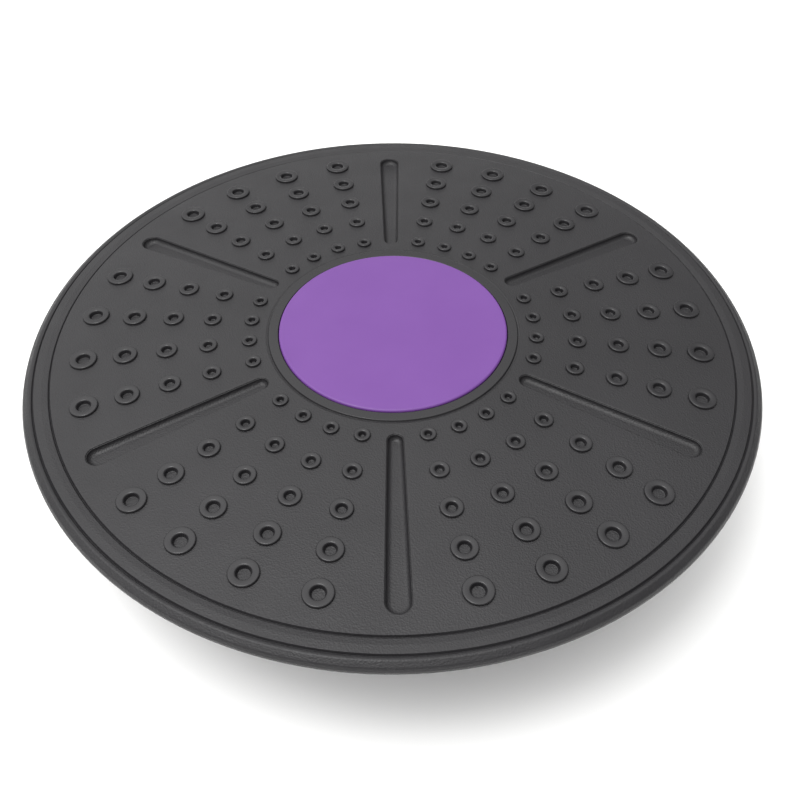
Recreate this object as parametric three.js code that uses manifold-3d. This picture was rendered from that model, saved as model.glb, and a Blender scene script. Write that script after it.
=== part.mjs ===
// Round balance board that also turns: a shallow conical deck with raised massage rings swivels
// on a ring of steel balls above a rounded dome, which rocks on the floor. Millimetres, +Z up,
// with the origin on the floor under the middle of the foot pad.

import * as THREE from 'three';
import { mergeVertices } from 'three/addons/utils/BufferGeometryUtils.js';
import Module from 'manifold-3d';

const wasm = await Module();
wasm.setup();

// ---------------------------------------------------------------- driving dimensions

const BOARD_DIAMETER = 360;
const BOARD_HEIGHT = 80; // floor to the top of the centre disc
const SEAT_GAP = 0.3; // left between two pieces that rest on or in each other
const RUN_GAP = 1; // left between two large pieces that turn past each other

// Deck, upper side
const DECK_SLOPE = 0.0424; // fall per millimetre of radius
const SKIN_THICKNESS = 4;
const RIM_THICKNESS = 5.2;
const RIM_ROUND = 1.6; // corner radius of the outer edge
const RIM_BAND_WIDTHS = [5.9, 7.7]; // outer band, then the one inside it
const COLLAR_WIDTH = 5.5; // raised band round the centre disc
const COLLAR_STEP = 0.6; // from the collar down to the deck
const COLLAR_EDGE = 0.5; // width of the slant at that step
const LINE_DEPTH = 0.9; // a rim line is a fine groove, steep inside and shallow outside
const LINE_WALL = 0.5;
const LINE_RAMP = 3.5;

// Massage rings: rows run round the deck, columns run outwards
const SECTOR_COUNT = 6;
const RING_ROWS = 5;
const RING_COLUMNS = 4;
const RING_COLUMN_ANGLE = THREE.MathUtils.degToRad(12);
const RING_HEIGHT = 1.2;
const FIRST_RING = { diameter: 7.7, hole: 2.9 };
const LAST_RING = { diameter: 13.5, hole: 6.3 };
const FIRST_ROW_OFFSET = 8.9; // from the edge of the collar
const LAST_ROW_OFFSET = 14.9; // from the inner rim line

// Grooves between the sectors
const GROOVE_WIDTHS = [7.5, 11]; // at the inner end and at the outer end
const GROOVE_DEPTH = 3.2;
const GROOVE_CORNER = 1.5;
const GROOVE_START_OFFSET = 6.7; // from the edge of the collar
const GROOVE_END_OFFSET = 8.7; // from the inner rim line
const TROUGH_WALL = 3;

// Deck, underside
const RIB_THICKNESS = 2.5;
const RIB_DEPTH = 6; // below the skin, where a rib meets the housing
const RIB_COUNT = 12;
const RING_RIB_OFFSET = 44; // from the housing
const RIM_WALL = 3;

// Bearing housing, screwed under the deck
const HOUSING_TOP = 3.5;
const HOUSING_WALL = 3;
const HUB_WEB = 6;
const WELL_RADIUS = 18; // the well that the pivot's nut lies in
const WELL_HEADROOM = 1.2;
const HOUSING_SPOKES = 6;
const DECK_SCREW_PITCH_RADIUS = 35;
const DECK_SCREW_BOSS = { radius: 4.6, depth: 7 };

// Centre disc
const DISC_RADIUS = 56.5;
const DISC_THICKNESS = 3;
const DISC_PROUD = 0.8;
const DISC_ROUND = 1;
const DISC_SKIRT_WALL = 2;
const DISC_SKIRT_DEPTH = 3;

// Dome
const DOME_SPHERE_RADIUS = 82;
const DOME_WALL = 3.5;
const DOME_BEAD = 2; // how far the top edge stands out from the dome
const DOME_BEAD_HEIGHT = 3;
const POST_PITCH_RADIUS = 28;
const POST_RADIUS = 4.6;
const BULKHEAD_THICKNESS = 2;
const BULKHEAD_DROP = 6; // from the dome's top edge

// Foot pad
const PAD_RADIUS = 32;
const PAD_THICKNESS = 4;
const PAD_PROUD = 2.7;
const PAD_ROUND = 1;
const PAD_GROOVES = [12, 22]; // inner radii of its grip grooves
const PAD_GROOVE_WIDTH = 2;
const PAD_GROOVE_DEPTH = 1;

// Dome plate
const PLATE_THICKNESS = 4;
const PLATE_SPIGOT_DEPTH = 4;
const PLATE_SPIGOT_WALL = 3;
const PLATE_BOSS_RADIUS = 14;
const LIP_HEIGHT = 5;
const LIP_WALL = 2.5;
const LIP_INSET = 2;
const RACE_RECESS = 2;
const RACE_MARGIN = 5.5; // from the lip to the race

// Ball bearing
const BALL_COUNT = 12;
const BALL_RADIUS = 4;
const RACE_WIDTH = 17.4;
const RACE_THICKNESS = 3;
const RACE_GROOVE_DEPTH = 1.5;
const CAGE_THICKNESS = 2.8;
const CAGE_WIDTH = 12.8;

// Pivot and screws
const BOLT_RADIUS = 4;
const BOLT_HEAD = { acrossFlats: 13, height: 5.3 };
const BOLT_TIP = 1; // past the nut
const NUT = { acrossFlats: 13, height: 8, collar: 1.6 };
const BUSH_WALL = 1.7;
const BUSH_FLANGE = { radius: 11, thickness: 1.5 };
const WASHER = { radius: 12, thickness: 1.6 };
const THRUST_WASHER = { radius: 14, thickness: 1.9 };
const SCREW_COUNT = 6; // in the dome plate, and again in the deck
const SCREW = { radius: 1.9, headRadius: 3.8, headHeight: 2.2, point: 2.5 };
const SCREW_DRIVE = { acrossFlats: 2.6, depth: 1.2 };
const DOME_SCREW_LENGTH = 16;
const DECK_SCREW_LENGTH = 12;

// Facets round each size of circle
const DECK_FACETS = 36;
const LARGE_FACETS = 36;
const SMALL_FACETS = 16;
const RING_FACETS = 6;

// ---------------------------------------------------------------- sizes that follow from those

const deckRadius = BOARD_DIAMETER / 2;
const rimLines = [deckRadius - RIM_BAND_WIDTHS[0] - RIM_BAND_WIDTHS[1], deckRadius - RIM_BAND_WIDTHS[0]];
const collarRadius = DISC_RADIUS + COLLAR_WIDTH;
const collarTop = BOARD_HEIGHT - DISC_PROUD;
const surfaceHeight = (radius) => collarTop - COLLAR_STEP - DECK_SLOPE * (radius - collarRadius);
const rimTop = surfaceHeight(deckRadius);
const rimBottom = rimTop - RIM_THICKNESS;

const discUnderside = BOARD_HEIGHT - DISC_THICKNESS;
const recessFloor = discUnderside - SEAT_GAP;
const deckSeat = recessFloor - SKIN_THICKNESS; // flat land under the deck that the housing meets
const housingTop = deckSeat - SEAT_GAP;
const nutStack = BUSH_FLANGE.thickness + WASHER.thickness + NUT.height + 3 * SEAT_GAP;
const webTop = recessFloor - nutStack - BOLT_TIP - WELL_HEADROOM;
const webBottom = webTop - HUB_WEB;
const washerBottom = webTop + BUSH_FLANGE.thickness + 2 * SEAT_GAP;
const nutBottom = washerBottom + WASHER.thickness + SEAT_GAP;

const plateTop = webBottom - THRUST_WASHER.thickness - 2 * SEAT_GAP;
const plateBottom = plateTop - PLATE_THICKNESS;
const boltSeat = plateBottom - PLATE_SPIGOT_DEPTH; // roof of the pocket that holds the bolt's head
const boltHeadBottom = boltSeat - SEAT_GAP - BOLT_HEAD.height;
const lowerRaceBottom = plateTop - RACE_RECESS + SEAT_GAP;
const ballHeight = lowerRaceBottom + RACE_THICKNESS - RACE_GROOVE_DEPTH + SEAT_GAP + BALL_RADIUS;
const upperRaceBottom = ballHeight + BALL_RADIUS + SEAT_GAP - RACE_GROOVE_DEPTH;
const raceSeat = upperRaceBottom + RACE_THICKNESS + SEAT_GAP;

const domeTop = plateBottom - SEAT_GAP;
const sphereHeight = PAD_PROUD + Math.sqrt(DOME_SPHERE_RADIUS ** 2 - (PAD_RADIUS + SEAT_GAP) ** 2);
const sphereRadiusAt = (sphereRadius, z) => Math.sqrt(sphereRadius ** 2 - (sphereHeight - z) ** 2);
const domeInnerRadius = DOME_SPHERE_RADIUS - DOME_WALL;
const padRecessFloor = PAD_THICKNESS + SEAT_GAP;
const domeFloor = padRecessFloor + DOME_WALL;
const plateRadius = sphereRadiusAt(DOME_SPHERE_RADIUS, domeTop) + DOME_BEAD;

const lipOuter = plateRadius - LIP_INSET;
const lipInner = lipOuter - LIP_WALL;
const raceOuter = lipInner - RACE_MARGIN;
const raceInner = raceOuter - RACE_WIDTH;
const ballPitchRadius = (raceInner + raceOuter) / 2;
const skirtInner = lipOuter + RUN_GAP + LIP_INSET;
const housingRadius = skirtInner + HOUSING_WALL;

// ---------------------------------------------------------------- shape helpers

// Drops what a solid doesn't need, so that only shared positions and real triangles are left.
function closedGeometry(geometry) {
  geometry.deleteAttribute('normal');
  geometry.deleteAttribute('uv');
  const merged = mergeVertices(geometry);
  const corners = merged.index.array;
  const kept = [];
  for (let i = 0; i < corners.length; i += 3) {
    const [a, b, c] = [corners[i], corners[i + 1], corners[i + 2]];
    if (a !== b && b !== c && c !== a) kept.push(a, b, c);
  }
  merged.setIndex(kept);
  return merged;
}

function toSolid(geometry) {
  const closed = closedGeometry(geometry);
  const vertProperties = new Float32Array(closed.attributes.position.array);
  const triVerts = new Uint32Array(closed.index.array);
  return new wasm.Manifold(new wasm.Mesh({ numProp: 3, vertProperties, triVerts }));
}

function toGeometry(solid) {
  const { vertProperties, triVerts } = solid.getMesh();
  const geometry = new THREE.BufferGeometry();
  geometry.setAttribute('position', new THREE.BufferAttribute(new Float32Array(vertProperties), 3));
  geometry.setIndex(new THREE.BufferAttribute(new Uint32Array(triVerts), 1));
  geometry.computeVertexNormals();
  return geometry;
}

// Turns an outline of [radius, height] points about Z. An outline that stays off the axis is
// closed on itself; one that starts and ends on the axis is left open there.
function turned(outline, facets) {
  const points = outline.map(([radius, height]) => new THREE.Vector2(radius, height));
  if (THREE.ShapeUtils.area(points) < 0) points.reverse();
  const offAxis = points.every((point) => point.x > 0);
  if (offAxis) points.push(points[0].clone());
  return new THREE.LatheGeometry(points, facets).rotateX(Math.PI / 2);
}

// Extrudes an outline of [radius, height] points into an upright fin of the given thickness.
function fin(outline, thickness) {
  const shape = new THREE.Shape(outline.map(([radius, height]) => new THREE.Vector2(radius, height)));
  const geometry = new THREE.ExtrudeGeometry(shape, { depth: thickness, bevelEnabled: false });
  return geometry.translate(0, 0, -thickness / 2).rotateX(Math.PI / 2);
}

function prism(sides, acrossFlats, bottom, top) {
  const circumradius = acrossFlats / 2 / Math.cos(Math.PI / sides);
  const geometry = new THREE.CylinderGeometry(circumradius, circumradius, top - bottom, sides);
  return geometry.rotateX(Math.PI / 2).translate(0, 0, (top + bottom) / 2);
}

function cylinder(radius, bottom, top, facets = SMALL_FACETS) {
  return turned([[0, bottom], [radius, bottom], [radius, top], [0, top]], facets);
}

function washer(inner, outer, thickness) {
  return turned([[inner, 0], [outer, 0], [outer, thickness], [inner, thickness]], SMALL_FACETS);
}

// Copies of one geometry, evenly spaced round Z.
function around(count, geometry, startAngle = 0) {
  const copies = [];
  for (let i = 0; i < count; i += 1) {
    copies.push(geometry.clone().rotateZ(startAngle + i * 2 * Math.PI / count));
  }
  return copies;
}

// The cutter for a countersunk hole: from below the piece, past the head's top, to above the piece.
function screwHole(bottom, headTop, top) {
  const shank = SCREW.radius + SEAT_GAP;
  const head = SCREW.headRadius + 2 * SEAT_GAP;
  return turned([
    [0, bottom],
    [shank, bottom],
    [shank, headTop - SCREW.headHeight - SEAT_GAP],
    [head, headTop],
    [head, top],
    [0, top],
  ], 12);
}

function joined(solid, geometries) {
  return geometries.reduce((result, geometry) => result.add(toSolid(geometry)), solid);
}

function cut(solid, geometries) {
  return geometries.reduce((result, geometry) => result.subtract(toSolid(geometry)), solid);
}

const lerp = THREE.MathUtils.lerp;

// ---------------------------------------------------------------- deck

// Radius of a row of massage rings; a fraction lies between two rows.
function rowRadius(row) {
  const firstRow = collarRadius + FIRST_ROW_OFFSET;
  const lastRow = rimLines[0] - LAST_ROW_OFFSET;
  return lerp(firstRow, lastRow, row / (RING_ROWS - 1));
}

// A fine groove round the rim: it drops at its inner side and comes back up over a long ramp.
function line(radius) {
  return [
    [radius, surfaceHeight(radius)],
    [radius + LINE_WALL, surfaceHeight(radius) - LINE_DEPTH],
    [radius + LINE_WALL + LINE_RAMP, surfaceHeight(radius + LINE_WALL + LINE_RAMP)],
  ];
}

function deckTopOutline() {
  return [
    [WELL_RADIUS, recessFloor],
    [DISC_RADIUS + SEAT_GAP, recessFloor],
    [DISC_RADIUS + SEAT_GAP, collarTop],
    [collarRadius - COLLAR_EDGE, collarTop],
    [collarRadius, surfaceHeight(collarRadius)],
    ...[rowRadius(1.5), rowRadius(3.5)].map((radius) => [radius, surfaceHeight(radius)]),
    ...rimLines.flatMap(line),
    [deckRadius, rimTop - RIM_ROUND],
    [deckRadius, rimBottom + RIM_ROUND],
    [deckRadius - RIM_ROUND, rimBottom],
  ];
}

const skinUnderside = (radius) => surfaceHeight(radius) - SKIN_THICKNESS;

// The ribs' lower edge, a cone from the housing to the rim.
function ribBottom(radius) {
  const inner = skinUnderside(housingRadius) - RIB_DEPTH;
  const along = (radius - housingRadius) / (deckRadius - housingRadius);
  return lerp(inner, rimBottom, along);
}

function deckBottomOutline() {
  const rimInner = deckRadius - RIM_WALL;
  const ringRib = housingRadius + RING_RIB_OFFSET;
  const landRadius = housingRadius + SEAT_GAP;
  return [
    [rimInner, rimBottom],
    [rimInner, skinUnderside(rimInner)],
    [ringRib + RIB_THICKNESS, skinUnderside(ringRib + RIB_THICKNESS)],
    [ringRib + RIB_THICKNESS, ribBottom(ringRib)],
    [ringRib, ribBottom(ringRib)],
    [ringRib, skinUnderside(ringRib)],
    [landRadius, skinUnderside(landRadius)],
    [landRadius, deckSeat],
    [WELL_RADIUS, deckSeat],
  ];
}

// A radial bar under the skin, its upper edge buried in the skin.
function radialBar(inner, outer, bottomAt, thickness) {
  const buried = (radius) => surfaceHeight(radius) - SKIN_THICKNESS / 2;
  return fin([
    [inner, bottomAt(inner)],
    [outer, bottomAt(outer)],
    [outer, buried(outer)],
    [inner, buried(inner)],
  ], thickness);
}

// Places a shape made round the origin on the deck's slope.
function onDeck(geometry, radius, angle) {
  geometry.rotateY(Math.atan(DECK_SLOPE));
  geometry.translate(radius, 0, surfaceHeight(radius));
  return geometry.rotateZ(angle);
}

function massageRings() {
  const rings = [];
  for (let row = 0; row < RING_ROWS; row += 1) {
    const along = row / (RING_ROWS - 1);
    const outer = lerp(FIRST_RING.diameter, LAST_RING.diameter, along) / 2;
    const inner = lerp(FIRST_RING.hole, LAST_RING.hole, along) / 2;
    const section = [
      [0, -RING_HEIGHT],
      [outer, -RING_HEIGHT],
      [outer, RING_HEIGHT],
      [inner, RING_HEIGHT],
      [0, 0],
    ];
    for (let column = 0; column < SECTOR_COUNT * RING_COLUMNS; column += 1) {
      const sector = Math.floor(column / RING_COLUMNS);
      const place = column % RING_COLUMNS - (RING_COLUMNS - 1) / 2;
      const angle = sector * 2 * Math.PI / SECTOR_COUNT + place * RING_COLUMN_ANGLE;
      rings.push(onDeck(turned(section, RING_FACETS), rowRadius(row), angle));
    }
  }
  return rings;
}

const grooveStart = collarRadius + GROOVE_START_OFFSET;
const grooveEnd = rimLines[0] - GROOVE_END_OFFSET;

// One groove: a long tapered slot with round ends, its floor parallel to the deck.
function grooveCutter() {
  const middle = (grooveStart + grooveEnd) / 2;
  const [startRound, endRound] = GROOVE_WIDTHS.map((width) => width / 2 - GROOVE_CORNER);
  const half = Math.PI / 2;
  const shape = new THREE.Shape();
  shape.absarc(grooveStart + GROOVE_WIDTHS[0] / 2 - middle, 0, startRound, half, 3 * half, false);
  shape.absarc(grooveEnd - GROOVE_WIDTHS[1] / 2 - middle, 0, endRound, -half, half, false);
  const geometry = new THREE.ExtrudeGeometry(shape, {
    depth: 2 * GROOVE_DEPTH,
    bevelSize: GROOVE_CORNER,
    bevelThickness: GROOVE_CORNER,
    bevelSegments: 1,
    curveSegments: 4,
  });
  geometry.translate(0, 0, GROOVE_CORNER - GROOVE_DEPTH);
  return onDeck(geometry, middle, 0);
}

function deckScrewHoles() {
  const hole = screwHole(deckSeat - 1, recessFloor - SEAT_GAP, recessFloor + 1);
  return around(SCREW_COUNT, hole.translate(DECK_SCREW_PITCH_RADIUS, 0, 0));
}

function makeDeck() {
  const barStart = housingRadius + 2 * SEAT_GAP;
  const troughBottom = (radius) => surfaceHeight(radius) - GROOVE_DEPTH - TROUGH_WALL;
  const troughWidth = GROOVE_WIDTHS[1] + 2 * TROUGH_WALL;
  const trough = radialBar(barStart, grooveEnd + TROUGH_WALL, troughBottom, troughWidth);
  const rib = radialBar(barStart, deckRadius - RIM_WALL / 2, ribBottom, RIB_THICKNESS);
  const halfSector = Math.PI / SECTOR_COUNT;
  const body = toSolid(turned([...deckTopOutline(), ...deckBottomOutline()], DECK_FACETS));
  const stiffened = joined(body, [
    ...around(RIB_COUNT, rib, halfSector),
    ...around(SECTOR_COUNT, trough, halfSector),
    ...massageRings(),
  ]);
  const grooves = around(SECTOR_COUNT, grooveCutter(), halfSector);
  return toGeometry(cut(stiffened, [...grooves, ...deckScrewHoles()]));
}

// ---------------------------------------------------------------- bearing housing

// A ring-shaped rib under the housing's top, from its outer wall inwards.
function housingRib(outer, inner, bottom) {
  const under = housingTop - HOUSING_TOP;
  return [[outer, under], [outer, bottom], [inner, bottom], [inner, under]];
}

function makeBearingHousing() {
  const raceLip = raceSeat - RACE_RECESS;
  const raceBoxOuter = raceOuter + SEAT_GAP;
  const raceBoxInner = raceInner - SEAT_GAP;
  const under = housingTop - HOUSING_TOP;
  const bushHole = BOLT_RADIUS + SEAT_GAP + BUSH_WALL + SEAT_GAP;
  const body = turned([
    [bushHole, webTop],
    [WELL_RADIUS, webTop],
    [WELL_RADIUS, housingTop],
    [housingRadius, housingTop],
    [housingRadius, plateTop + RUN_GAP],
    [skirtInner, plateTop + RUN_GAP],
    [skirtInner, under],
    ...housingRib(raceBoxOuter + HOUSING_WALL, raceBoxOuter, raceLip),
    ...housingRib(ballPitchRadius + HOUSING_WALL / 2, ballPitchRadius - HOUSING_WALL / 2, raceSeat),
    ...housingRib(raceBoxInner, raceBoxInner - HOUSING_WALL, raceLip),
    [WELL_RADIUS + HOUSING_WALL, under],
    [WELL_RADIUS + HOUSING_WALL, webBottom],
    [bushHole, webBottom],
  ], LARGE_FACETS);
  const spokeEnds = [WELL_RADIUS + HOUSING_WALL / 2, raceBoxInner - HOUSING_WALL / 2];
  const buried = housingTop - HOUSING_TOP / 2;
  const spoke = fin([
    [spokeEnds[0], raceSeat],
    [spokeEnds[1], raceSeat],
    [spokeEnds[1], buried],
    [spokeEnds[0], buried],
  ], RIB_THICKNESS);
  const boss = cylinder(DECK_SCREW_BOSS.radius, under - DECK_SCREW_BOSS.depth, buried, 12);
  const pilotBottom = recessFloor - 2 * SEAT_GAP - DECK_SCREW_LENGTH;
  const pilot = cylinder(SCREW.radius + SEAT_GAP, pilotBottom, housingTop + 1, 12);
  const bosses = around(SCREW_COUNT, boss.translate(DECK_SCREW_PITCH_RADIUS, 0, 0));
  const pilots = around(SCREW_COUNT, pilot.translate(DECK_SCREW_PITCH_RADIUS, 0, 0));
  const spokes = around(HOUSING_SPOKES, spoke, Math.PI / HOUSING_SPOKES);
  return toGeometry(cut(joined(toSolid(body), [...spokes, ...bosses]), pilots));
}

// ---------------------------------------------------------------- centre disc

function makeCentreDisc() {
  const skirtOuterRadius = WELL_RADIUS - SEAT_GAP;
  const skirtInnerRadius = skirtOuterRadius - DISC_SKIRT_WALL;
  return turned([
    [0, 0],
    [skirtInnerRadius, 0],
    [skirtInnerRadius, -DISC_SKIRT_DEPTH],
    [skirtOuterRadius, -DISC_SKIRT_DEPTH],
    [skirtOuterRadius, 0],
    [DISC_RADIUS, 0],
    [DISC_RADIUS, DISC_THICKNESS - DISC_ROUND],
    [DISC_RADIUS - DISC_ROUND, DISC_THICKNESS],
    [0, DISC_THICKNESS],
  ], DECK_FACETS);
}

// ---------------------------------------------------------------- dome and foot

// Points along the dome's sphere between two heights, from the lower one to the upper.
function sphereArc(sphereRadius, from, to, steps) {
  const points = [];
  const startAngle = Math.acos((sphereHeight - from) / sphereRadius);
  const endAngle = Math.acos((sphereHeight - to) / sphereRadius);
  for (let i = 0; i <= steps; i += 1) {
    const angle = lerp(startAngle, endAngle, i / steps);
    points.push([sphereRadius * Math.sin(angle), sphereHeight - sphereRadius * Math.cos(angle)]);
  }
  return points;
}

function makeDomeShell() {
  const beadBottom = domeTop - DOME_BEAD_HEIGHT;
  const shell = turned([
    [0, padRecessFloor],
    [PAD_RADIUS + SEAT_GAP, padRecessFloor],
    ...sphereArc(DOME_SPHERE_RADIUS, PAD_PROUD, beadBottom - DOME_BEAD, 6),
    [plateRadius, beadBottom],
    [plateRadius, domeTop],
    ...sphereArc(domeInnerRadius, domeFloor, domeTop, 5).reverse(),
    [0, domeFloor],
  ], LARGE_FACETS);
  const postBottom = padRecessFloor + DOME_WALL / 2;
  const post = cylinder(POST_RADIUS, postBottom, domeTop, 12).translate(POST_PITCH_RADIUS, 0, 0);
  const bulkheadTop = domeTop - BULKHEAD_DROP;
  const bulkhead = fin([
    [POST_PITCH_RADIUS, postBottom],
    ...sphereArc(DOME_SPHERE_RADIUS - DOME_WALL / 2, postBottom, bulkheadTop, 5),
    [POST_PITCH_RADIUS, bulkheadTop],
  ], BULKHEAD_THICKNESS);
  const pilotBottom = plateTop - 2 * SEAT_GAP - DOME_SCREW_LENGTH;
  const pilot = cylinder(SCREW.radius + SEAT_GAP, pilotBottom, domeTop + 1, 12);
  pilot.translate(POST_PITCH_RADIUS, 0, 0);
  const ribbed = joined(toSolid(shell), [...around(SCREW_COUNT, post), ...around(SCREW_COUNT, bulkhead)]);
  return toGeometry(cut(ribbed, around(SCREW_COUNT, pilot)));
}

function makeFootPad() {
  const grooves = PAD_GROOVES.flatMap((inner) => [
    [inner, 0],
    [inner, PAD_GROOVE_DEPTH],
    [inner + PAD_GROOVE_WIDTH, PAD_GROOVE_DEPTH],
    [inner + PAD_GROOVE_WIDTH, 0],
  ]);
  return turned([
    [0, 0],
    ...grooves,
    [PAD_RADIUS - PAD_ROUND, 0],
    [PAD_RADIUS, PAD_ROUND],
    [PAD_RADIUS, PAD_THICKNESS],
    [0, PAD_THICKNESS],
  ], LARGE_FACETS);
}

// ---------------------------------------------------------------- dome plate

function makeDomePlate() {
  const spigotBottom = plateBottom - PLATE_SPIGOT_DEPTH;
  const spigotOuter = sphereRadiusAt(domeInnerRadius, spigotBottom) - SEAT_GAP;
  const bossBottom = boltHeadBottom - SEAT_GAP;
  const boltHole = BOLT_RADIUS + SEAT_GAP;
  const disc = turned([
    [boltHole, bossBottom],
    [PLATE_BOSS_RADIUS, bossBottom],
    [PLATE_BOSS_RADIUS, plateBottom],
    [spigotOuter - PLATE_SPIGOT_WALL, plateBottom],
    [spigotOuter - PLATE_SPIGOT_WALL, spigotBottom],
    [spigotOuter, spigotBottom],
    [spigotOuter, plateBottom],
    [plateRadius, plateBottom],
    [plateRadius, plateTop],
    [lipOuter, plateTop],
    [lipOuter, plateTop + LIP_HEIGHT],
    [lipInner, plateTop + LIP_HEIGHT],
    [lipInner, plateTop],
    [raceOuter + SEAT_GAP, plateTop],
    [raceOuter + SEAT_GAP, plateTop - RACE_RECESS],
    [raceInner - SEAT_GAP, plateTop - RACE_RECESS],
    [raceInner - SEAT_GAP, plateTop],
    [boltHole, plateTop],
  ], LARGE_FACETS);
  const headPocket = prism(6, BOLT_HEAD.acrossFlats + 2 * SEAT_GAP, bossBottom - 1, boltSeat);
  const screwHoles = around(
    SCREW_COUNT,
    screwHole(plateBottom - 1, plateTop - SEAT_GAP, plateTop + 1).translate(POST_PITCH_RADIUS, 0, 0),
  );
  return toGeometry(cut(toSolid(disc), [headPocket, ...screwHoles]));
}

// ---------------------------------------------------------------- bearing

// A flat steel ring with a round track in its upper side.
function makeRace() {
  const trackRadius = BALL_RADIUS + SEAT_GAP;
  const opening = Math.acos((trackRadius - RACE_GROOVE_DEPTH) / trackRadius);
  const steps = 4;
  const track = [];
  for (let i = 0; i <= steps; i += 1) {
    const angle = lerp(opening, -opening, i / steps);
    const height = RACE_THICKNESS - RACE_GROOVE_DEPTH + trackRadius * (1 - Math.cos(angle));
    track.push([ballPitchRadius + trackRadius * Math.sin(angle), height]);
  }
  return turned([
    [raceInner, 0],
    [raceOuter, 0],
    [raceOuter, RACE_THICKNESS],
    ...track,
    [raceInner, RACE_THICKNESS],
  ], LARGE_FACETS);
}

function makeBallCage() {
  const [inner, outer] = [ballPitchRadius - CAGE_WIDTH / 2, ballPitchRadius + CAGE_WIDTH / 2];
  const half = CAGE_THICKNESS / 2;
  const ring = turned([[inner, -half], [outer, -half], [outer, half], [inner, half]], LARGE_FACETS);
  const pocketSides = 12;
  const pocket = prism(pocketSides, 2 * (BALL_RADIUS + SEAT_GAP), -CAGE_THICKNESS, CAGE_THICKNESS);
  pocket.translate(ballPitchRadius, 0, 0);
  return toGeometry(cut(toSolid(ring), around(BALL_COUNT, pocket)));
}

// ---------------------------------------------------------------- pivot and screws

function makePivotBolt() {
  const tip = nutBottom + NUT.height + BOLT_TIP;
  const headTop = boltHeadBottom + BOLT_HEAD.height;
  const head = toSolid(prism(6, BOLT_HEAD.acrossFlats, boltHeadBottom, headTop));
  const shank = turned([
    [0, headTop - 1],
    [BOLT_RADIUS, headTop - 1],
    [BOLT_RADIUS, tip - 1],
    [BOLT_RADIUS - 1, tip],
    [0, tip],
  ], SMALL_FACETS);
  return toGeometry(joined(head, [shank]));
}

function makeLockNut() {
  const shoulder = NUT.height - NUT.collar;
  const collarRadius = NUT.acrossFlats / 2 - 0.5;
  const body = toSolid(prism(6, NUT.acrossFlats, 0, shoulder));
  const collar = turned([
    [0, shoulder - 1],
    [collarRadius, shoulder - 1],
    [collarRadius, NUT.height - 0.6],
    [collarRadius - 0.6, NUT.height],
    [0, NUT.height],
  ], SMALL_FACETS);
  const bore = cylinder(BOLT_RADIUS + 0.05, -1, NUT.height + 1);
  return toGeometry(cut(joined(body, [collar]), [bore]));
}

function makePivotBush() {
  const inner = BOLT_RADIUS + SEAT_GAP;
  const sleeve = inner + BUSH_WALL;
  const flangeBottom = webTop + SEAT_GAP;
  return turned([
    [inner, webBottom],
    [sleeve, webBottom],
    [sleeve, flangeBottom],
    [BUSH_FLANGE.radius, flangeBottom],
    [BUSH_FLANGE.radius, flangeBottom + BUSH_FLANGE.thickness],
    [inner, flangeBottom + BUSH_FLANGE.thickness],
  ], SMALL_FACETS);
}

// A countersunk screw with its head's flat top at height 0.
function makeScrew(length) {
  const body = turned([
    [0, -length],
    [SCREW.radius * 0.4, -length],
    [SCREW.radius, SCREW.point - length],
    [SCREW.radius, -SCREW.headHeight],
    [SCREW.headRadius, -0.3],
    [SCREW.headRadius, 0],
    [0, 0],
  ], 12);
  const drive = prism(4, SCREW_DRIVE.acrossFlats, -SCREW_DRIVE.depth, 1);
  return toGeometry(cut(toSolid(body), [drive]));
}

// ---------------------------------------------------------------- materials

const plastic = (color, roughness) => new THREE.MeshStandardMaterial({ color, roughness, metalness: 0 });
const metal = (color, roughness) => new THREE.MeshStandardMaterial({ color, roughness, metalness: 1 });

const blackPolypropylene = () => plastic(0x3a393b, 0.6);
const purplePolypropylene = () => plastic(0x8f65b0, 0.5);
const padRubber = () => plastic(0x222224, 0.9);
const bushAcetal = () => plastic(0xd9d7cf, 0.4);
const washerNylon = () => plastic(0xe4e0d6, 0.5);
const zincSteel = () => metal(0xb4b8bc, 0.35);
const ballSteel = () => metal(0xd2d4d6, 0.12);

// ---------------------------------------------------------------- assembly

function piece(name, geometry, material, height = 0) {
  const mesh = new THREE.Mesh(closedGeometry(geometry), material);
  mesh.name = name;
  mesh.position.z = height;
  return mesh;
}

// Copies of a piece on a circle, each with its own number.
function circleOf(count, pitchRadius, height, prefix, make, material) {
  const circle = new THREE.Group();
  for (let i = 0; i < count; i += 1) {
    const arm = new THREE.Group();
    const copy = piece(`${prefix}_${String(i + 1).padStart(2, '0')}`, make(), material(), height);
    copy.position.x = pitchRadius;
    arm.rotation.z = i * 2 * Math.PI / count;
    arm.add(copy);
    circle.add(arm);
  }
  return circle;
}

const base = new THREE.Group();
base.add(
  piece('foot_pad', makeFootPad(), padRubber()),
  piece('dome_shell', makeDomeShell(), purplePolypropylene()),
  piece('dome_plate', makeDomePlate(), blackPolypropylene()),
  piece('lower_race', makeRace(), zincSteel(), lowerRaceBottom),
  piece('pivot_bolt', makePivotBolt(), zincSteel()),
  piece('thrust_washer', washer(BOLT_RADIUS + SEAT_GAP, THRUST_WASHER.radius, THRUST_WASHER.thickness),
    washerNylon(), plateTop + SEAT_GAP),
  piece('steel_washer', washer(BOLT_RADIUS + SEAT_GAP, WASHER.radius, WASHER.thickness),
    zincSteel(), washerBottom),
  piece('lock_nut', makeLockNut(), zincSteel(), nutBottom),
  circleOf(SCREW_COUNT, POST_PITCH_RADIUS, plateTop - SEAT_GAP, 'dome_screw',
    () => makeScrew(DOME_SCREW_LENGTH), zincSteel),
);

const bearing = new THREE.Group();
const makeBall = () => new THREE.IcosahedronGeometry(BALL_RADIUS, 1);
bearing.add(
  piece('ball_cage', makeBallCage(), bushAcetal(), ballHeight),
  circleOf(BALL_COUNT, ballPitchRadius, ballHeight, 'ball', makeBall, ballSteel),
);

const upperRace = piece('upper_race', makeRace(), zincSteel(), upperRaceBottom + RACE_THICKNESS);
upperRace.rotation.x = Math.PI;

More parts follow.
